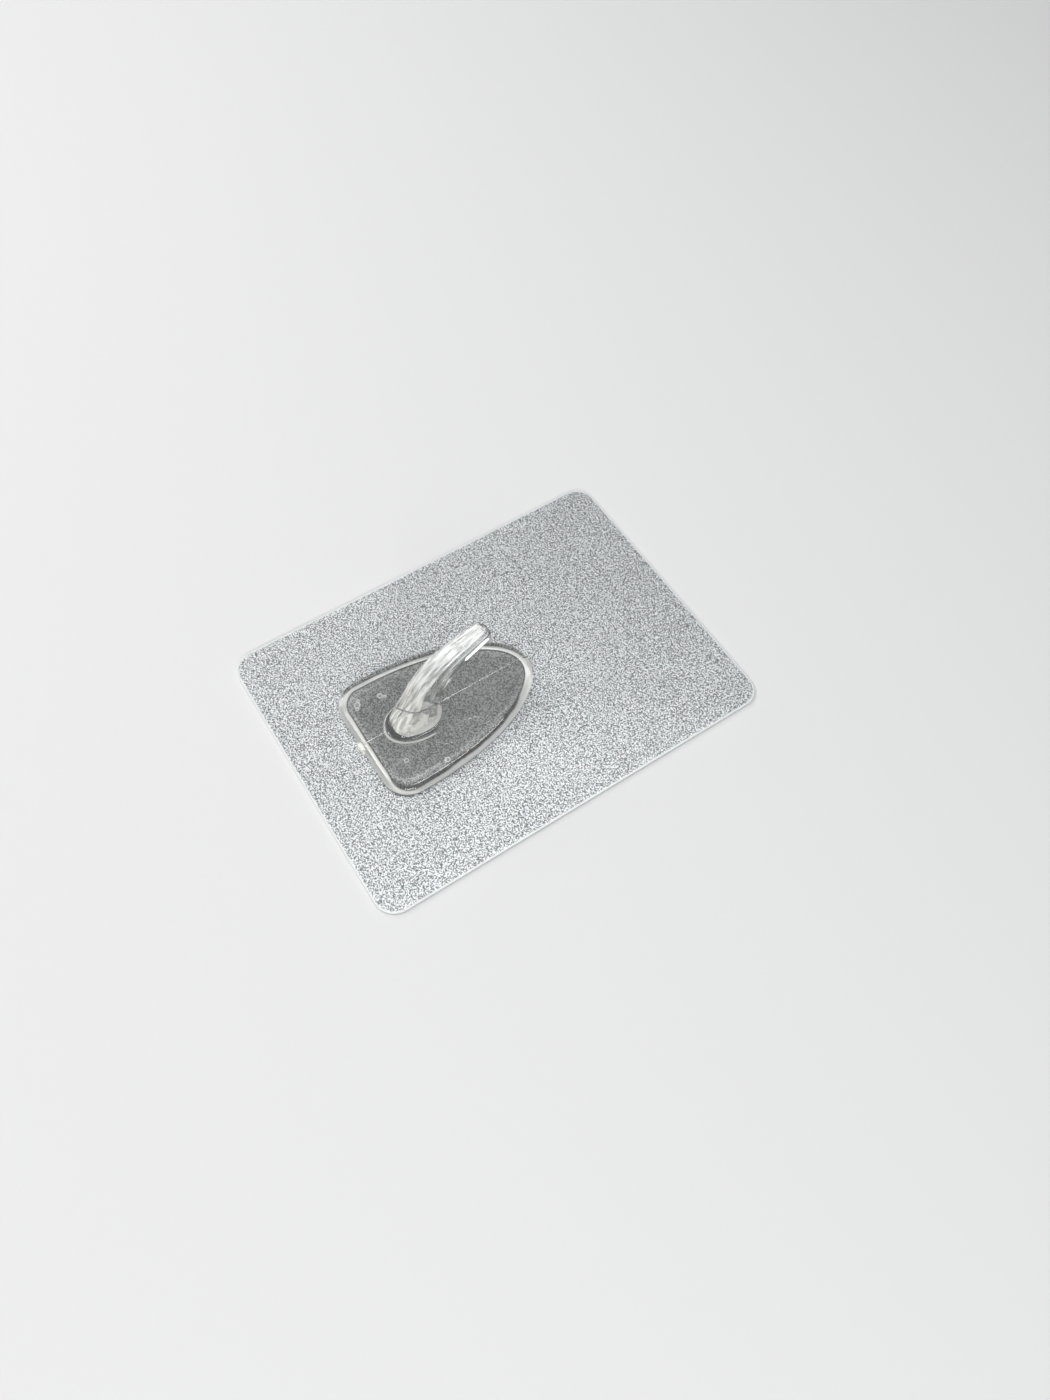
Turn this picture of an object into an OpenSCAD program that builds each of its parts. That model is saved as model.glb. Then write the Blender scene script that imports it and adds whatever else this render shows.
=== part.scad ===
// Adhesive wall hook: a clear moulded hook bonded to a self-adhesive film sheet.
// It lies on its back: the wall side is down, +Z points away from the wall and +Y points up the wall.
// The origin is the centre of the sheet's back face.

/* [Sheet] */
// Width of the film sheet
sheet_w = 60; // [45:1:90]
// Length of the film sheet, up the wall
sheet_l = 81; // [65:1:120]
// Corner radius of the film sheet
sheet_corner_r = 4; // [1:0.5:10]

/* [Layers] */
// Thickness of the release liner
liner_t = 0.1; // [0.05:0.01:0.2]
// Thickness of the wall adhesive
adhesive_t = 0.15; // [0.08:0.01:0.5]
// Thickness of the face film
film_t = 0.3; // [0.1:0.01:0.6]
// Thickness of the glue under the hook
bond_t = 0.1; // [0.05:0.01:0.2]
// How far the glue stops short of the base's edge
bond_inset = 0.15; // [0:0.05:0.5]

/* [Hook base] */
// Width of the base
base_w = 25.6; // [20:0.2:34]
// Length of the half ellipse that rounds the base's upper end
base_arch_l = 29; // [20:0.2:40]
// Length of the straight-sided foot below the half ellipse
base_foot_l = 6.6; // [5.4:0.2:12]
// Thickness of the base
base_t = 2.1; // [1.5:0.1:4]
// Radius of the base's two lower corners
base_corner_r = 5.2; // [2:0.2:6.4]
// Radius of the round along the base's upper edge
base_edge_r = 1.2; // [0.4:0.1:1.4]
// Distance from the sheet's lower edge to the base's lower edge
base_offset = 12.1; // [2:0.1:16]
// Width of the stub that the mould's gate left on the lower edge
gate_w = 1.7; // [1:0.1:3]
// How far the gate stub stands out
gate_l = 0.4; // [0.1:0.1:1]

/* [Hook arm] */
// Distance from the base's lower edge to the arm's axis, at its root
arm_offset = 12; // [10:0.2:16]
// Radius of the bend, on the arm's axis
bend_r = 15.3; // [11:0.1:20]
// Angle through which the arm bends
bend_angle = 66; // [40:1:80]
// Straight length after the bend
tip_l = 6.4; // [3:0.1:12]
// Width of the arm at its root
root_w = 5.8; // [4:0.1:8]
// Depth of the arm at its root, across the bend
root_d = 6.1; // [4:0.1:8]
// Width of the arm at its tip
tip_w = 2.8; // [2.4:0.1:4]
// Depth of the arm at its tip
tip_d = 3.3; // [2.4:0.1:4]
// Radius of the fillet between the arm and the base
fillet_r = 0.8; // [0.5:0.1:2]
// How far the root's heel reaches down the base
heel_l = 3.1; // [0:0.1:4]
// How far the root's two sides splay out
splay_l = 0.5; // [0:0.1:1]
// Height over which the heel and the splay run out into the arm
heel_h = 7; // [4:0.1:10]
// Radius of the round on the arm's end
end_r = 1.1; // [0.4:0.1:1.1]

/* [Hidden] */
$fn = 96;

// Heights of the layers, from the back of the sheet
adhesive_z = liner_t;
film_z = adhesive_z + adhesive_t;
bond_z = film_z + film_t;
base_z = bond_z + bond_t;
base_top_z = base_z + base_t;

// Places along the sheet
base_y = base_offset - sheet_l / 2;
arch_y = base_y + base_foot_l;
arm_y = base_y + arm_offset;

// Counts of points round the base's outline, stretch by stretch
arch_steps = 48;
side_steps = 2;
corner_steps = 6;
foot_steps = 3;

// Counts of rings up the hook
edge_steps = 5;
fillet_steps = 5;
shaft_steps = 24;
end_steps = 4;

// The arm's section turns from an oval at its root to a round-cornered square: an ellipse has a power of 2
root_oval_power = 2.3;
shaft_oval_power = 7;
// Height at which the section is fully squared
squared_h = 10;
// The arm's depth tapers faster near its root: 1 would be an even taper
depth_taper_power = 1.2;
// The heel and the splay run out along a curve: 1 would be a straight slope
heel_power = 2;

bend_l = bend_r * bend_angle * PI / 180;
arm_l = bend_l + tip_l;

// Points from p towards q, without q
function line_points(p, q, steps) = [for (i = [0:steps - 1]) p + (q - p) * i / steps];

// Points of an arc, without its last
function arc_points(centre, r, from, to, steps) =
    [for (i = [0:steps - 1])
        let (a = from + (to - from) * i / steps)
        centre + r * [cos(a), sin(a)]];

// Outline of the base, drawn in by an inset: half an ellipse over a foot with two round corners,
// with the gate stub standing out of the middle of the foot's lower edge
function base_outline(inset, stub_l) =
    let (
        a = base_w / 2 - inset,
        b = base_arch_l - inset,
        r = base_corner_r - inset,
        foot_y = base_y + inset,
        gate_x = gate_w / 2,
        stub_y = foot_y - stub_l,
        stub = stub_l > 0 ? [[-gate_x, foot_y], [-gate_x, stub_y], [gate_x, stub_y]] : []
    )
    concat(
        [for (i = [0:arch_steps - 1])
            let (t = 180 * i / arch_steps)
            [a * cos(t), arch_y + b * sin(t)]],
        line_points([-a, arch_y], [-a, foot_y + r], side_steps),
        arc_points([r - a, foot_y + r], r, 180, 270, corner_steps),
        line_points([r - a, foot_y], [-gate_x, foot_y], foot_steps),
        stub,
        line_points([gate_x, foot_y], [a - r, foot_y], foot_steps),
        arc_points([a - r, foot_y + r], r, 270, 360, corner_steps),
        line_points([a, foot_y + r], [a, arch_y], side_steps)
    );

// The outline, with its stub, as a level ring
function base_ring(inset, z) = [for (q = base_outline(inset, gate_l)) [q[0], q[1], z]];

// Wall of the base, then the round along its upper edge
base_rings = concat(
    [base_ring(0, base_z)],
    [for (i = [0:edge_steps])
        let (a = 90 * i / edge_steps)
        base_ring(base_edge_r * (1 - cos(a)), base_top_z - base_edge_r * (1 - sin(a)))]
);

// Direction of each outline point from the arm's axis, which the arm's rings follow
spokes = [for (q = base_outline(0, gate_l)) atan2(q[1] - arm_y, q[0])];

// Angle the arm has turned through, s along its axis
function turn_at(s) = min(s, bend_l) / bend_l * bend_angle;

// Point on the arm's axis
function axis_at(s) =
    let (a = turn_at(s), straight = max(s - bend_l, 0))
    [0, arm_y, base_top_z]
        + bend_r * [0, 1 - cos(a), sin(a)]
        + straight * [0, sin(a), cos(a)];

// Widening in the fillet at the root, and narrowing in the round at the end
function flare_at(s) = s < fillet_r ? fillet_r - sqrt(pow(fillet_r, 2) - pow(fillet_r - s, 2)) : 0;
function narrowing_at(s) =
    let (past = s - arm_l + end_r)
    past > 0 ? end_r - sqrt(max(pow(end_r, 2) - pow(past, 2), 0)) : 0;

// How the root spreads towards the base, by its reach there
function spread_at(s, reach) = s < heel_h ? reach * pow(1 - s / heel_h, heel_power) : 0;

// Half sizes of the arm's section
function half_w_at(s) =
    (root_w + (tip_w - root_w) * s / arm_l) / 2 + spread_at(s, splay_l) + flare_at(s) - narrowing_at(s);
function half_d_at(s) =
    let (taper = pow(1 - s / arm_l, depth_taper_power))
    (tip_d + (root_d - tip_d) * taper) / 2 + flare_at(s) - narrowing_at(s);

// Power of the arm's section
function oval_power_at(s) =
    root_oval_power + (shaft_oval_power - root_oval_power) * min(s / squared_h, 1);

// Radius of an oval in one direction
function oval_r(a, b, power, t) =
    pow(pow(abs(cos(t)) / a, power) + pow(abs(sin(t)) / b, power), -1 / power);

// One ring of the arm, square to its axis, with the heel on the side that faces down the wall
function arm_ring(s) =
    let (c = axis_at(s), a = turn_at(s), w = half_w_at(s), d = half_d_at(s), heel = spread_at(s, heel_l))
    let (power = oval_power_at(s))
    [for (t = spokes)
        let (r = oval_r(w, sin(t) < 0 ? d + heel : d, power, t))
        c + r * [cos(t), sin(t) * cos(a), -sin(t) * sin(a)]];

// Distances of the arm's rings along its axis: closer in the fillet and in the round
arm_stations = concat(
    [for (i = [0:fillet_steps - 1]) fillet_r * (1 - cos(90 * i / fillet_steps))],
    [for (i = [0:shaft_steps]) fillet_r + (arm_l - end_r - fillet_r) * i / shaft_steps],
    [for (i = [1:end_steps]) arm_l - end_r * (1 - sin(90 * i / end_steps))]
);

// Mean of a ring's points
function middle(ring) = [for (p = ring) 1] * ring / len(ring);

// Closed solid through rings of equal length, with each end closed by a fan about its middle
module loft(rings) {
    n = len(rings[0]);
    last = len(rings) - 1;
    points = concat([for (ring = rings) each ring], [middle(rings[0]), middle(rings[last])]);
    first_middle = len(points) - 2;
    last_middle = len(points) - 1;
    sides = [for (j = [0:last - 1], i = [0:n - 1])
        let (k = (i + 1) % n, low = j * n, high = low + n)
        each [[low + i, high + i, high + k], [low + i, high + k, low + k]]];
    ends = [for (i = [0:n - 1])
        let (k = (i + 1) % n, high = last * n)
        each [[i, k, first_middle], [high + k, high + i, last_middle]]];
    polyhedron(points, concat(sides, ends));
}

// One layer of the sheet
module layer(z, t) {
    flat_w = sheet_w - 2 * sheet_corner_r;
    flat_l = sheet_l - 2 * sheet_corner_r;
    translate([0, 0, z])
        linear_extrude(t) {
            square([sheet_w, flat_l], center = true);
            square([flat_w, sheet_l], center = true);
            for (x = [-1, 1], y = [-1, 1])
                translate([x * flat_w / 2, y * flat_l / 2])
                    circle(sheet_corner_r);
        }
}

// Film that keeps the adhesive clean, and is peeled off before use
module release_liner() {
    color("aliceblue")
        layer(0, liner_t);
}

// Pressure-sensitive adhesive over the whole back of the film
module wall_adhesive() {
    color("gainsboro")
        layer(adhesive_z, adhesive_t);
}

// Frosted silver-grey film that shows
module face_film() {
    color("silver")
        layer(film_z, film_t);
}

// Cured glue between the film and the hook
module hook_bond() {
    color("dimgray")
        translate([0, 0, bond_z])
            linear_extrude(bond_t)
                polygon(base_outline(bond_inset, 0));
}

// Clear moulding: a flat base, and an arm that bends up the wall
module hook() {
    color("lightcyan")
        loft(concat(base_rings, [for (s = arm_stations) arm_ring(s)]));
}

release_liner();
wall_adhesive();
face_film();
hook_bond();
hook();
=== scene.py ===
# Adhesive wall hook: a clear moulded hook, glued to a frosted silver-grey sheet with an adhesive back.
# +Z points away from the wall and +Y up it, and the sheet lies on its back. Sizes of pieces are in
# millimetres, which MM brings to the frame's metres. The floor and the lamps are in metres.
import math

import bmesh
import bpy
from mathutils import Matrix, Vector


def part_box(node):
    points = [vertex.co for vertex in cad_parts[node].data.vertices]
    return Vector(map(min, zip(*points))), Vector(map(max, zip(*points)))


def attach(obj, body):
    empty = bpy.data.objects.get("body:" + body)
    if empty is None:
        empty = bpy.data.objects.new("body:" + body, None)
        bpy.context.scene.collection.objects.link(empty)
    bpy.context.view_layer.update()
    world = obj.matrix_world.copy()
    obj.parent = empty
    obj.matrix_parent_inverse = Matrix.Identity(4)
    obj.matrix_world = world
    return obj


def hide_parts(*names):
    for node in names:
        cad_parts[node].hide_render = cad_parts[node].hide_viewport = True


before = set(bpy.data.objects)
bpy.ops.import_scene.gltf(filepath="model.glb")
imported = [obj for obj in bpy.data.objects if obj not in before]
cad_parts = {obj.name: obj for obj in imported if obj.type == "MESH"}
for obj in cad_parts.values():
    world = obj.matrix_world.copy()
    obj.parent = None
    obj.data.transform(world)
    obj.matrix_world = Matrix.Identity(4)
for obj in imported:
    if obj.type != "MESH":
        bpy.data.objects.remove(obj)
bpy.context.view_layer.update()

MM = 0.001


# Release liner: a hazy clear polyester film with a slippery release coat, die-cut with the sheet.
# It keeps the adhesive clean, and is peeled off and thrown away when the hook is put up.
liner_dull = (0.78, 0.81, 0.84, 1)
liner_bright = (0.88, 0.91, 0.93, 1)
liner_cloud_size = 6
liner_streak_w = 0.5
liner_streak_scale = (1.0, 0.04, 1.0)
liner_streak_depth = 0.004


class Shade:
    """One output of a material's nodes: arithmetic adds Math nodes, and node() adds any other node."""

    def __init__(self, tree, socket=None):
        self.tree = tree
        self.socket = socket

    def node(self, kind, values=None, output=0, **settings):
        """Adds a node: its settings are set first, then its sockets get their values or links."""
        made = self.tree.nodes.new(kind)
        for name, value in settings.items():
            setattr(made, name, value)
        for name, value in (values or {}).items():
            if isinstance(value, Shade):
                self.tree.links.new(value.socket, made.inputs[name])
            else:
                made.inputs[name].default_value = value
        return Shade(self.tree, made.outputs[output] if made.outputs else None)

    def math(self, operation, *values):
        return self.node("ShaderNodeMath", dict(enumerate(values)), operation=operation)

    def __add__(self, other):
        return self.math("ADD", self, other)

    def __sub__(self, other):
        return self.math("SUBTRACT", self, other)

    def __rsub__(self, other):
        return self.math("SUBTRACT", other, self)

    def __mul__(self, other):
        return self.math("MULTIPLY", self, other)

    def __truediv__(self, other):
        return self.math("DIVIDE", self, other)

    def __pow__(self, other):
        return self.math("POWER", self, other)

    def __abs__(self):
        return self.math("ABSOLUTE", self)

    __radd__ = __add__
    __rmul__ = __mul__

    def noise(self, size, detail=2.0):
        """Noise at these coordinates, with lumps of about this size."""
        return self.node("ShaderNodeTexNoise", {"Vector": self, "Scale": 1 / size, "Detail": detail})

    def step(self, low, high):
        """0 below low and 1 above high, or the other way round where low is the greater."""
        values = {"Value": self, "From Min": low, "From Max": high}
        return self.node("ShaderNodeMapRange", values, interpolation_type="SMOOTHSTEP")

    def band(self, start, full, last, end):
        """1 from full to last, fading to 0 at start and at end."""
        return self.step(start, full) * self.step(end, last)

    def blend(self, low, high):
        """A colour between two, by this value."""
        return self.node("ShaderNodeMix", {0: self, 6: low, 7: high}, output=2, data_type="RGBA")

    def mix(self, low, high):
        """A value between two, by this one."""
        return low + self * (high - low)

    def clipped(self):
        """This value, or zero where it is less."""
        return self.math("MAXIMUM", self, 0.0)

    def bump(self, depth):
        """A normal from this height, as a share of a depth."""
        return self.node("ShaderNodeBump", {"Height": self, "Distance": depth, "Strength": 1.0})

    def axes(self):
        """The three parts of a vector."""
        split = self.node("ShaderNodeSeparateXYZ", {"Vector": self}).socket.node
        return [Shade(self.tree, part) for part in split.outputs]

    def stretched(self, scale):
        """These coordinates, scaled axis by axis."""
        return self.node("ShaderNodeMapping", {"Vector": self, "Scale": scale})


def finish(name, paint, haze=None, haze_share=None):
    """A material that paint works out from the object's own coordinates. A second paint can haze it."""
    made = bpy.data.materials.new(name)
    made.use_nodes = True
    made.node_tree.nodes.clear()
    place = Shade(made.node_tree).node("ShaderNodeTexCoord", output="Object")
    skin = place.node("ShaderNodeBsdfPrincipled", paint(place))
    if haze:
        veil = place.node("ShaderNodeBsdfPrincipled", haze(place))
        skin = place.node("ShaderNodeMixShader", {0: haze_share(place), 1: skin, 2: veil})
    place.node("ShaderNodeOutputMaterial", {"Surface": skin})
    return made


def coat(piece, material):
    """Gives a piece one material all over."""
    piece.data.materials.clear()
    piece.data.materials.append(material)


def liner_film(place):
    cloud = place.noise(liner_cloud_size * MM, detail=4.0)
    streaks = place.stretched(liner_streak_scale).noise(liner_streak_w * MM)
    return {
        "Base Color": cloud.blend(liner_dull, liner_bright),
        "Roughness": streaks.mix(0.22, 0.42),
        "Alpha": cloud.mix(0.5, 0.7),
        "Normal": streaks.bump(liner_streak_depth * MM),
    }


coat(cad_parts["release_liner"], finish("hazy liner film", liner_film))


# Wall adhesive: an acrylic pressure-sensitive layer, coated over the whole back of the film.
# It is soft, tacky and hazy, and shows as a thin grey line round the sheet's edge.
adhesive_dark = (0.50, 0.52, 0.53, 1)
adhesive_pale = (0.66, 0.68, 0.68, 1)
adhesive_cloud_size = 2.5
adhesive_cloud_depth = 0.02


def soft_adhesive(place):
    cloud = place.noise(adhesive_cloud_size * MM, detail=5.0)
    return {
        "Base Color": cloud.blend(adhesive_dark, adhesive_pale),
        "Roughness": cloud.mix(0.3, 0.45),
        "Normal": cloud.bump(adhesive_cloud_depth * MM),
    }


coat(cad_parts["wall_adhesive"], finish("hazy adhesive", soft_adhesive))


# Face film: a vinyl sheet with a frosted, silver-grey face, die-cut with round corners.
# The cutting die rounds its upper edge over, and a paler line along it is a painted highlight.
film_low, film_high = [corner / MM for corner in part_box("face_film")]
film_size = film_high - film_low
film_corner_r = 4
film_corner_steps = 20
film_edge_r = 0.12
film_edge_steps = 4
tolerance = 0.01
merge_distance = 0.0005


def select(piece):
    """Selects one piece alone and makes it the active one."""
    bpy.ops.object.select_all(action="DESELECT")
    bpy.context.view_layer.objects.active = piece
    piece.select_set(True)


def start(add, **sizes):
    """Adds a primitive with everything else deselected, and enters edit mode on it."""
    bpy.ops.object.select_all(action="DESELECT")
    add(**sizes)
    bpy.ops.object.transform_apply(location=True, rotation=True, scale=True)
    bpy.ops.object.mode_set(mode="EDIT")


def leave(name):
    """Leaves edit mode and names the piece."""
    bpy.ops.object.mode_set(mode="OBJECT")
    piece = bpy.context.object
    piece.name = name
    return piece


def pick(kind, test=lambda at: True):
    """Selects only the vertices, edges or faces whose corners all pass a test of their place."""
    bpy.ops.mesh.select_mode(type=kind)
    bpy.ops.mesh.select_all(action="DESELECT")
    mesh = bpy.context.object.data
    shape = bmesh.from_edit_mesh(mesh)
    for item in {"VERT": shape.verts, "EDGE": shape.edges, "FACE": shape.faces}[kind]:
        corners = [item] if kind == "VERT" else item.verts
        if all(test(corner.co) for corner in corners):
            item.select_set(True)
    shape.select_flush_mode()
    bmesh.update_edit_mesh(mesh)


def extrude(x, y, z):
    """Extrudes what is selected by these distances."""
    bpy.ops.mesh.extrude_region_move(TRANSFORM_OT_translate={"value": (x, y, z)})


def recalculate():
    """Merges doubles and turns every face outwards."""
    bpy.ops.mesh.select_all(action="SELECT")
    bpy.ops.mesh.remove_doubles(threshold=merge_distance)
    bpy.ops.mesh.normals_make_consistent(inside=False)


def smooth(piece, sharp_angle=30, flat_weight=100):
    """Brings a piece from millimetres to metres, and shades it smooth but for its sharp edges and flats."""
    select(piece)
    piece.scale = (MM, MM, MM)
    bpy.ops.object.transform_apply(location=True, rotation=True, scale=True)
    bpy.ops.object.shade_smooth_by_angle(angle=math.radians(sharp_angle))
    weighting = piece.modifiers.new("flats", "WEIGHTED_NORMAL")
    weighting.keep_sharp = True
    weighting.weight = flat_weight
    bpy.ops.object.modifier_apply(modifier=weighting.name)


start(bpy.ops.mesh.primitive_plane_add, size=1, location=(0, 0, film_low.z))
bpy.ops.transform.resize(value=(film_size.x, film_size.y, 1))
pick("VERT")
bpy.ops.mesh.bevel(offset=film_corner_r, segments=film_corner_steps, affect="VERTICES")
pick("FACE")
extrude(0, 0, film_size.z)
pick("EDGE", lambda at: at.z > film_high.z - tolerance)
bpy.ops.mesh.bevel(offset=film_edge_r, segments=film_edge_steps, affect="EDGES")
recalculate()
face_film = leave("frosted_face_film")
smooth(face_film)

# Its frost is fine dark and pale grains, with larger flecks and a faint cloudiness.
frost_dark = (0.11, 0.113, 0.115, 1)
frost_pale = (0.81, 0.833, 0.845, 1)
frost_depth = 0.06
frost_grain_size = 0.25
frost_grain_contrast = (0.41, 0.59)
frost_grain_share = 0.85
frost_fleck_size = 0.55
frost_fleck_contrast = (0.35, 0.65)
frost_fleck_share = 0.15
frost_cloud_size = 14
frost_cloud_share = 0.12
# The paler line along the cut edge is a painted highlight.
cut_edge_highlight_colour = (0.75, 0.77, 0.77, 1)
cut_edge_highlight_w = 0.5
cut_edge_highlight_full_w = 0.15


def frosted_film(place):
    x, y, z = place.axes()
    corner_r = film_corner_r * MM
    half_w = film_size.x / 2 * MM - corner_r
    half_l = film_size.y / 2 * MM - corner_r
    past_x = (abs(x) - half_w).clipped()
    past_y = (abs(y) - half_l).clipped()
    to_edge = corner_r - (past_x * past_x + past_y * past_y) ** 0.5
    # Painted highlight along the cut edge.
    cut_edge_highlight = to_edge.step(cut_edge_highlight_w * MM, cut_edge_highlight_full_w * MM)
    grain = place.noise(frost_grain_size * MM, detail=1.0)
    flecks = place.noise(frost_fleck_size * MM, detail=1.0)
    cloud = place.noise(frost_cloud_size * MM, detail=3.0)
    tone = grain.step(*frost_grain_contrast) * frost_grain_share
    tone = tone + flecks.step(*frost_fleck_contrast) * frost_fleck_share
    tone = tone + (cloud - 0.5) * frost_cloud_share
    frost = tone.blend(frost_dark, frost_pale)
    return {
        "Base Color": cut_edge_highlight.blend(frost, cut_edge_highlight_colour),
        "Metallic": cut_edge_highlight.mix(0.5, 0.05),
        "Roughness": 0.46 - 0.04 * tone - 0.05 * cut_edge_highlight,
        "Normal": (grain * 0.7 + flecks * 0.3).bump(frost_depth * MM),
    }


coat(face_film, finish("frosted silver film", frosted_film))
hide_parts("face_film")
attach(face_film, "sheet")


# Hook glue: a thin layer of clear cured glue that wets the film grey under the hook's base.
# It was pressed flat, which left a few air bubbles in it. It is painted pale along its edge and in an
# oval under the arm's root as painted light, with painted shade in a crescent below that.
bond_low, bond_high = [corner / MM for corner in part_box("hook_bond")]
hook_low, hook_high = [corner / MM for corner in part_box("hook")]
bond_inset = hook_high.x - bond_high.x
base_gate_l = 0.4
base_foot_l = 6.6
base_corner_r = 5.2
base_corner_steps = 24
base_arch_steps = 192
base_y = hook_low.y + base_gate_l
arch_y = base_y + base_foot_l

bubble_depth = 0.07
bubble_steps = 24

# Each bubble's place across and up, and its radius.
bubbles = [
    (-8.4, -24.8, 0.5),
    (-7.9, -20.3, 0.42),
    (6.3, -22.8, 0.36),
    (10.1, -16.5, 0.42),
    (-7.6, -25.2, 0.26),
    (-9.1, -24.2, 0.22),
    (-7.3, -19.6, 0.24),
]


def base_plate(inset, low, high):
    """Starts a plate with the base's outline: half an ellipse over a foot with two round corners."""
    half_w = hook_high.x - inset
    arch_l = hook_high.y - inset - arch_y
    foot_y = base_y + inset
    middle = (0, arch_y, low)
    disc = {"vertices": base_arch_steps, "radius": half_w, "fill_type": "NGON"}
    start(bpy.ops.mesh.primitive_circle_add, location=middle, **disc)
    bpy.ops.transform.resize(value=(1, arch_l / half_w, 1), center_override=middle)
    bpy.ops.mesh.bisect(plane_co=middle, plane_no=(0, 1, 0), clear_inner=True)
    pick("EDGE", lambda at: at.y < arch_y + tolerance)
    extrude(0, foot_y - arch_y, 0)
    pick("FACE")
    bpy.ops.mesh.dissolve_faces()
    pick("VERT", lambda at: at.y < foot_y + tolerance)
    bpy.ops.mesh.bevel(offset=base_corner_r - inset, segments=base_corner_steps, affect="VERTICES")
    pick("FACE")
    extrude(0, 0, high - low)


def cut(piece, tool, operation):
    """Joins a tool to a piece, or cuts it out, and removes the tool."""
    select(piece)
    joining = piece.modifiers.new("joining", "BOOLEAN")
    joining.operation = operation
    joining.solver = "MANIFOLD"
    joining.object = tool
    bpy.ops.object.modifier_apply(modifier=joining.name)
    bpy.data.objects.remove(tool)


base_plate(bond_inset, bond_low.z, bond_high.z)
recalculate()
glue = leave("hook_glue")
for x, y, r in bubbles:
    middle = (x, y, bond_high.z)
    ball = {"segments": bubble_steps, "ring_count": bubble_steps // 2, "radius": r}
    start(bpy.ops.mesh.primitive_uv_sphere_add, location=middle, **ball)
    bpy.ops.transform.resize(value=(1, 1, bubble_depth / r), center_override=middle)
    cut(glue, leave("bubble"), "DIFFERENCE")
smooth(glue)


def metres(sizes):
    """Sizes in millimetres, brought to metres."""
    return [size * MM for size in sizes]


def from_rim(place):
    """Distance in from the base's outline."""
    x, y, z = place.axes()
    half_w = hook_high.x * MM
    arch_l = (hook_high.y - arch_y) * MM
    corner_r = base_corner_r * MM
    up = y - arch_y * MM
    round_to = (x * x / half_w**2 + up * up / arch_l**2) ** 0.5
    slope = (x * x / half_w**4 + up * up / arch_l**4) ** 0.5 / round_to
    in_arch = (1 - round_to) / slope
    past_x = (abs(x) - half_w + corner_r).clipped()
    past_y = (base_y * MM + corner_r - y).clipped()
    in_foot = corner_r - (past_x * past_x + past_y * past_y) ** 0.5
    return up.step(-tolerance * MM, tolerance * MM).mix(in_foot, in_arch)


# The glue's grey, with a fine grain and broad clouds in it.
glue_dark = (0.15, 0.155, 0.155, 1)
glue_grey = (0.56, 0.57, 0.57, 1)
glue_painted_light = (0.97, 0.97, 0.95, 1)
glue_grain_size = 0.28
glue_grain_contrast = (0.38, 0.62)
glue_grain_share = 0.8
glue_grain_depth = 0.01
glue_cloud_size = 9
glue_cloud_contrast = (0.3, 0.7)
glue_cloud_share = 0.2

# The painted light along its edge and the line of painted shade inside that, by distance in from
# the base's outline.
edge_waver = 0.4
rim_painted_light = (0.6, 0.8, 1.35, 1.5)
rim_painted_shade = (1.4, 1.5, 1.65, 1.85)
rim_painted_shade_colour = (0.06, 0.06, 0.06, 1)
rim_painted_shade_strength = 0.75

# The oval of painted light, and round its lower end a crescent of painted shade with an outline of
# painted highlight, as shares of the oval.
root_light_oval_y = -16.2
root_light_oval_w = 5.4
root_light_oval_l = 8.6
root_light_oval_shares = (1.03, 0.97)
shade_crescent_shares = (1.6, 1.35)
shade_crescent_top_shares = (0.7, 0.1)
shade_crescent_colour = (0.09, 0.094, 0.094, 1)
shade_crescent_strength = 0.85
highlight_outline_shares = (1.56, 1.6, 1.67, 1.72)
highlight_outline_top_shares = (0.3, 0.0)

# The specks, and the painted highlight round each bubble.
speck_gap = 0.9
speck_shares = (0.16, 0.08)
speck_patch_size = 5
speck_patch_contrast = (0.5, 0.62)
bubble_highlight_colour = (0.92, 0.93, 0.93, 1)
bubble_highlight_line = (0.18, 0.05)
bubble_highlight_strength = 0.8


def grey_glue(place):
    x, y, z = place.axes()
    grain = place.noise(glue_grain_size * MM, detail=1.0)
    cloud = place.noise(glue_cloud_size * MM, detail=3.0)
    tone = grain.step(*glue_grain_contrast) * glue_grain_share
    tone = tone + cloud.step(*glue_cloud_contrast) * glue_cloud_share
    grey = tone.blend(glue_dark, glue_grey)

    oval_x = x / (root_light_oval_w / 2 * MM)
    oval_up = (y - root_light_oval_y * MM) / (root_light_oval_l / 2 * MM)
    oval_r = (oval_x * oval_x + oval_up * oval_up) ** 0.5
    # Painted light in the oval under the arm's root.
    oval = oval_r.step(*root_light_oval_shares)
    # Painted shade in a crescent below the oval.
    crescent = oval_r.step(*shade_crescent_shares) * oval_up.step(*shade_crescent_top_shares)
    # Painted highlight outlining the crescent.
    outline = oval_r.band(*highlight_outline_shares) * oval_up.step(*highlight_outline_top_shares)
    shaded = (crescent * shade_crescent_strength).blend(grey, shade_crescent_colour)

    dots = place.node("ShaderNodeTexVoronoi", {"Vector": place, "Scale": 1 / (speck_gap * MM)})
    patches = place.noise(speck_patch_size * MM).step(*speck_patch_contrast)
    specks_and_highlights = dots.step(*speck_shares) * patches
    for at_x, at_y, r in bubbles:
        off_x = x - at_x * MM
        off_y = y - at_y * MM
        away = (off_x * off_x + off_y * off_y) ** 0.5
        # Painted highlight round each bubble.
        specks_and_highlights = specks_and_highlights + bubble_highlight_strength * abs(away - r * MM).step(*metres(bubble_highlight_line))
    speckled_and_highlit = specks_and_highlights.blend(shaded, bubble_highlight_colour)

    inside = from_rim(place) + (cloud - 0.5) * edge_waver * MM
    # Painted light along the rim.
    edge = inside.band(*metres(rim_painted_light))
    # Painted shade in a line inside the rim.
    with_rim_shade = (inside.band(*metres(rim_painted_shade)) * rim_painted_shade_strength).blend(speckled_and_highlit, rim_painted_shade_colour)
    # The pale colour is painted light, on the rim, in the oval and on the crescent's outline.
    return {
        "Base Color": (edge + oval - edge * oval + outline).blend(with_rim_shade, glue_painted_light),
        "Roughness": grain.mix(0.5, 0.7),
        "Normal": grain.bump(glue_grain_depth * MM),
    }


coat(glue, finish("grey cured glue", grey_glue))
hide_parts("hook_bond")
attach(glue, "sheet")


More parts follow.
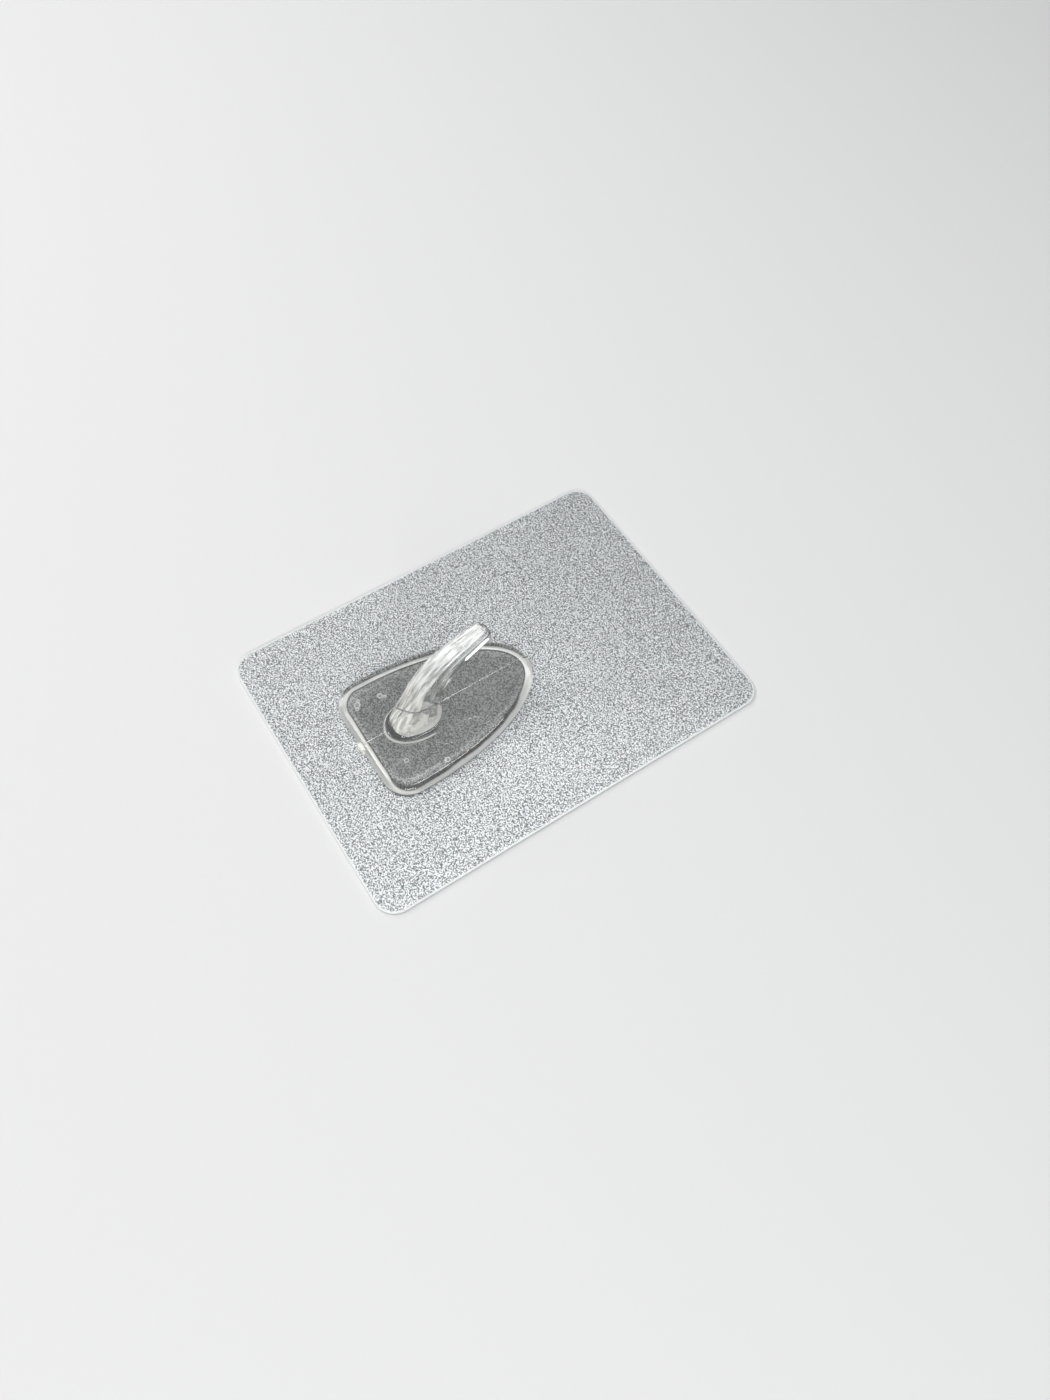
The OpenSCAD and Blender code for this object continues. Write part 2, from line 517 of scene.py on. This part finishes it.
# Hook: one clear injection moulding, with a flat shield-shaped base and a squared arm that bends
# upwards. The mould halves met along its middle and left a fine ridge, and the gate was broken off at
# the lower edge. The arm's front is satin above a slanting line at its root, and the rest is clear.
base_t = 2.1
base_top = hook_low.z + base_t
base_edge_r = 1.2
base_edge_steps = 14
contact_depth = 0.01

base_plate(0, hook_low.z - contact_depth, base_top)
pick("EDGE", lambda at: at.z > base_top - tolerance)
bpy.ops.mesh.bevel(offset=base_edge_r, segments=base_edge_steps, affect="EDGES")
recalculate()
hook = leave("clear_hook")

# The broken gate is a small lump with blunt edges, on the middle of the lower edge.
gate_w = 1.7
gate_overlap = 1
gate_rise = 0.1
gate_drop = 0.25
gate_edge_r = 0.15
gate_edge_steps = 3
gate_low = Vector((-gate_w / 2, hook_low.y, hook_low.z + gate_rise))
gate_high = Vector((gate_w / 2, base_y + gate_overlap, base_top - gate_drop))
gate_at = (gate_low + gate_high) / 2
start(bpy.ops.mesh.primitive_cube_add, size=1, location=gate_at)
bpy.ops.transform.resize(value=gate_high - gate_low, center_override=gate_at)
for blunt in (lambda at: at.y < base_y, lambda at: at.z > gate_high.z - tolerance):
    pick("EDGE", blunt)
    bpy.ops.mesh.bevel(offset=gate_edge_r, segments=gate_edge_steps, affect="EDGES")
recalculate()
cut(hook, leave("gate"), "UNION")

# The arm leaves the base square to it, bends upwards and ends in a straight tip with a round end. It
# tapers all the way, and a heel below its root and a fillet round it spread it out on the base.
arm_offset = 12
arm_y = base_y + arm_offset
bend_r = 15.3
bend_angle = math.radians(66)
bend_l = bend_r * bend_angle
tip_l = 6.4
arm_l = bend_l + tip_l
arm_steps = 48
arm_round_steps = 144
root_w = 5.8
root_d = 6.1
root_power = 2.3
tip_w = 2.8
tip_d = 3.3
tip_power = 7
taper_power = 1.2
squared_l = 10
heel_l = 3.1
heel_h = 7
heel_power = 2
splay_l = 0.5
fillet_r = 0.8
fillet_steps = 8
end_r = 1.1
end_steps = 10


def signed_power(value, power):
    """A sine or cosine raised to a power, with its sign kept."""
    return math.copysign(abs(value) ** power, value)


def arm_section(s):
    """Points round the arm at a distance along its axis: an oval at the root, squared above."""
    turn = min(s, bend_l) / bend_r
    straight = max(s - bend_l, 0)
    y = arm_y + bend_r * (1 - math.cos(turn)) + straight * math.sin(turn)
    z = base_top + bend_r * math.sin(turn) + straight * math.cos(turn)
    across = Vector((0, math.cos(turn), -math.sin(turn)))
    flare = fillet_r - math.sqrt(fillet_r**2 - (fillet_r - s) ** 2) if s < fillet_r else 0
    past = max(s - arm_l + end_r, 0)
    round_off = end_r - math.sqrt(max(end_r**2 - past**2, 0))
    share = s / arm_l
    spread = (1 - s / heel_h) ** heel_power if s < heel_h else 0
    half_w = (root_w + (tip_w - root_w) * share) / 2 + splay_l * spread + flare - round_off
    half_d = (tip_d + (root_d - tip_d) * (1 - share) ** taper_power) / 2 + flare - round_off
    squareness = 2 / (root_power + (tip_power - root_power) * min(s / squared_l, 1))
    points = []
    for step in range(arm_round_steps):
        angle = 2 * math.pi * step / arm_round_steps
        wide = half_w * signed_power(math.cos(angle), squareness)
        deep = signed_power(math.sin(angle), squareness)
        deep *= half_d + heel_l * spread if deep < 0 else half_d
        points.append(Vector((wide, y, z)) + across * deep)
    return points


def place_ring(s):
    """Moves the corners of the face at the arm's end to the arm's section."""
    mesh = bpy.context.object.data
    shape = bmesh.from_edit_mesh(mesh)
    end = next(face for face in shape.faces if face.select)
    for corner, point in zip(end.verts, arm_section(s)):
        corner.co = point
    bmesh.update_edit_mesh(mesh)


# It starts as a disc on the base, and grows ring by ring along its axis.
start(bpy.ops.mesh.primitive_circle_add, vertices=arm_round_steps, radius=root_w, fill_type="NGON")
place_ring(0)
quarter = math.pi / 2
stations = [fillet_r * (1 - math.cos(quarter * i / fillet_steps)) for i in range(1, fillet_steps)]
stations += [fillet_r + (arm_l - end_r - fillet_r) * i / arm_steps for i in range(arm_steps + 1)]
stations += [arm_l - end_r * (1 - math.sin(quarter * i / end_steps)) for i in range(1, end_steps + 1)]
for s in stations:
    bpy.ops.mesh.extrude_region_move()
    place_ring(s)
arm = leave("arm")

# The arm's root and the base's top are opened, and joined by a flat face round the root.
fine_tolerance = 0.001


def edit(piece):
    """Enters edit mode on one piece."""
    select(piece)
    bpy.ops.object.mode_set(mode="EDIT")


def on_top(at):
    """Whether a point is level with the base's top."""
    return abs(at.z - base_top) < fine_tolerance


for piece in (arm, hook):
    edit(piece)
    pick("FACE", on_top)
    bpy.ops.mesh.delete(type="FACE")
    bpy.ops.object.mode_set(mode="OBJECT")
arm.select_set(True)
bpy.ops.object.join()
edit(hook)
pick("EDGE", on_top)
bpy.ops.mesh.fill()
recalculate()

# The parting ridge: the moulding is cut along its middle and on both sides, and the middle is raised.
ridge_w = 0.44
ridge_h = 0.066
ridge_start = 0.2
for x in (-ridge_w / 2, 0, ridge_w / 2):
    bpy.ops.mesh.select_all(action="SELECT")
    bpy.ops.mesh.bisect(plane_co=(x, 0, 0), plane_no=(1, 0, 0))
    pick("EDGE", lambda at: abs(at.x - x) < fine_tolerance)
    bpy.ops.mesh.mark_sharp()
pick("VERT", lambda at: abs(at.x) < fine_tolerance and at.z > hook_low.z + ridge_start)
bpy.ops.transform.shrink_fatten(value=ridge_h)
hook = leave("clear_hook")
smooth(hook)

# The satin on the arm's front is white, turning cream towards the root as painted warm light, with
# streaks along the arm. Heights and distances come in pairs, between which a finish fades in or out.
plastic_tint = (0.985, 0.99, 0.985, 1)
clear_haze = 0.02
satin_white = (0.94, 0.95, 0.94, 1)
satin_painted_warm_light = (0.93, 0.92, 0.86, 1)
satin_painted_warm_light_h = (12, 5)
satin_start_h = (0.5, 1.2)
satin_front_shares = (0.6, 0.69)
satin_squared_h = (4, 12)
satin_squared_share = 0.28
satin_streak_w = 0.55
satin_streak_scale = (1.0, 0.12, 0.12)
satin_streak_contrast = (0.36, 0.66)
satin_haze = (0.22, 0.68)

# A thin line of painted shade slants across the root, with cloudy plastic below it. The broken gate is
# frosted.
slant_shade_colour = (0.12, 0.12, 0.12, 1)
slant_turn = math.radians(13.5)
slant_rise = 0.67
slant_line = (0.22, 0.1)
slant_fade = (-0.05, 0.15)
slant_haze = 0.3
root_cloud_w = 0.8
root_cloud_scale = (1.0, 0.3, 0.15)
root_cloud_contrast = (0.4, 0.62)
root_cloud_h = (0.3, 1.5)
root_haze = (0.1, 0.65)
broken_l = (0.5, 0.3)
broken_margin = 0.1
broken_haze = 0.8


def clear_plastic(place):
    return {
        "Base Color": plastic_tint,
        "Transmission Weight": 1.0,
        "IOR": 1.57,
        "Roughness": 0.02,
    }


def from_bend(place):
    """Distances across, along and up from the centre of the arm's bend."""
    x, y, z = place.axes()
    return x, y - (arm_y + bend_r) * MM, z - base_top * MM


def above_slant(place):
    """Height above the slanting line across the arm's root."""
    x, off_y, up = from_bend(place)
    return up * math.cos(slant_turn) + off_y * math.sin(slant_turn) - x * slant_rise


def on_slant(place):
    """1 along the slanting line, on the arm alone."""
    x, off_y, up = from_bend(place)
    return abs(above_slant(place)).step(*metres(slant_line)) * up.step(*metres(satin_start_h))


def satin_plastic(place):
    x, off_y, up = from_bend(place)
    # The cream towards the root is painted warm light.
    satin = up.step(*metres(satin_painted_warm_light_h)).blend(satin_white, satin_painted_warm_light)
    # The slanting line's dark colour is painted shade.
    return {"Base Color": on_slant(place).blend(satin, slant_shade_colour), "Roughness": 0.3}


def satin_share(place):
    """Most on the broken gate, the arm's front and the root's clouds, and least elsewhere."""
    x, off_y, up = from_bend(place)
    past_bend = (off_y * math.sin(bend_angle) + up * math.cos(bend_angle)).clipped()
    outward = (off_y * off_y + up * up - past_bend * past_bend) ** 0.5 - bend_r * MM
    half_d = root_d / 2 * MM - up * ((root_d - tip_d) / 2 / (hook_high.z - base_top))
    squared = up.step(*metres(satin_squared_h))
    front = (outward / half_d - satin_squared_share * squared).step(*satin_front_shares)
    above = above_slant(place).step(*metres(slant_fade))
    streaks = place.stretched(satin_streak_scale).noise(satin_streak_w * MM).step(*satin_streak_contrast)
    satin = front * up.step(*metres(satin_start_h)) * above * streaks.mix(*satin_haze)

    clouds = place.stretched(root_cloud_scale).noise(root_cloud_w * MM).step(*root_cloud_contrast)
    root = (1 - above) * up.step(*metres(root_cloud_h)) * clouds.mix(*root_haze)

    past_edge = off_y + (arm_y + bend_r - base_y) * MM
    broken_w = (gate_w / 2 + broken_margin, gate_w / 2)
    broken = past_edge.step(*metres(broken_l)) * abs(x).step(*metres(broken_w))
    return clear_haze + satin + root + slant_haze * on_slant(place) + broken_haze * broken


coat(hook, finish("clear moulded plastic", clear_plastic, satin_plastic, satin_share))
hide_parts("hook")
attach(hook, "sheet")


# Stage: a plain pale floor under the sheet, which fades out into a pale background.
# Soft lamps stand round it, and none of this belongs to the object.
floor_grey = (0.72, 0.72, 0.72, 1)
floor_size = 4
floor_drop = 0.00002
floor_fade = (0.65, 0.3)
lamp_distance = 0.7
white = (1, 1, 1)
warm_white = (1, 0.99, 0.97)
cool_white = (0.98, 0.99, 1)
room_grey = (0.13, 0.133, 0.136, 1)
background_pale = (0.85, 0.85, 0.85, 1)

start(bpy.ops.mesh.primitive_plane_add, size=floor_size, location=(0, 0, -floor_drop))
floor = leave("floor")


def pale_floor(place):
    x, y, z = place.axes()
    away = (x * x + y * y) ** 0.5
    return {"Base Color": floor_grey, "Roughness": 0.8, "Alpha": away.step(*floor_fade)}


coat(floor, finish("pale floor", pale_floor))


def lamp(name, toward, size, share, colour, distance=lamp_distance):
    """A soft lamp that faces the hook. Its share is of the light that makes a level white surface white."""
    toward = Vector(toward).normalized()
    light = bpy.data.lights.new(name, "AREA")
    light.shape = "RECTANGLE"
    light.size, light.size_y = size
    light.energy = share * (math.pi * distance) ** 2 / toward.z
    light.color = colour
    holder = bpy.data.objects.new(name, light)
    holder.location = toward * distance
    holder.rotation_euler = toward.to_track_quat("Z", "Y").to_euler()
    bpy.context.scene.collection.objects.link(holder)


lamp("left key", (-0.45, -0.45, 0.77), size=(0.32, 0.32), share=0.19, colour=warm_white)
lamp("left core", (-0.42, -0.50, 0.76), size=(0.10, 0.10), share=0.10, colour=warm_white, distance=0.65)
lamp("overhead", (-0.08, 0.20, 0.97), size=(0.22, 0.22), share=0.30, colour=cool_white)
lamp("right strip", (0.80, -0.42, 0.56), size=(0.40, 0.22), share=0.31, colour=white)
lamp("far strip", (-0.80, 0.05, 0.53), size=(0.55, 0.10), share=0.15, colour=white)

world = bpy.data.worlds.new("studio")
world.use_nodes = True
world.node_tree.nodes.clear()
sky = Shade(world.node_tree)
ray = sky.node("ShaderNodeLightPath", output="Is Camera Ray")
room = sky.node("ShaderNodeBackground", {"Color": room_grey, "Strength": 1.0})
background = sky.node("ShaderNodeBackground", {"Color": background_pale, "Strength": 1.0})
seen = sky.node("ShaderNodeMixShader", {0: ray, 1: room, 2: background})
sky.node("ShaderNodeOutputWorld", {"Surface": seen})
scene = bpy.context.scene
scene.world = world
scene.view_settings.view_transform = "Standard"
scene.cycles.blur_glossy = 0
scene.cycles.max_bounces = 24
scene.cycles.glossy_bounces = 16
scene.cycles.transmission_bounces = 24

# Camera: it looks down on the sheet from beyond its lower right-hand side.
# Its place and turn are worked out from the four edges of the photographed sheet.
camera_at = Vector((86.4, -52.5, 172.9)) * MM
camera_right = Vector((0.5457, 0.8379, 0.0141)).normalized()
camera_back = Vector((0.4024, -0.2768, 0.8726)).normalized()
camera_up = camera_back.cross(camera_right)
focal_px = 1060
image_h_px = 1400
sensor = 36.0
nearest = 0.01
eye = bpy.data.cameras.new("camera")
eye.sensor_width = sensor
eye.lens = focal_px / image_h_px * sensor
eye.clip_start = nearest
viewer = bpy.data.objects.new("camera", eye)
turned = Matrix((camera_right, camera_up, camera_back)).transposed().to_4x4()
viewer.matrix_world = Matrix.Translation(camera_at) @ turned
scene.collection.objects.link(viewer)
scene.camera = viewer
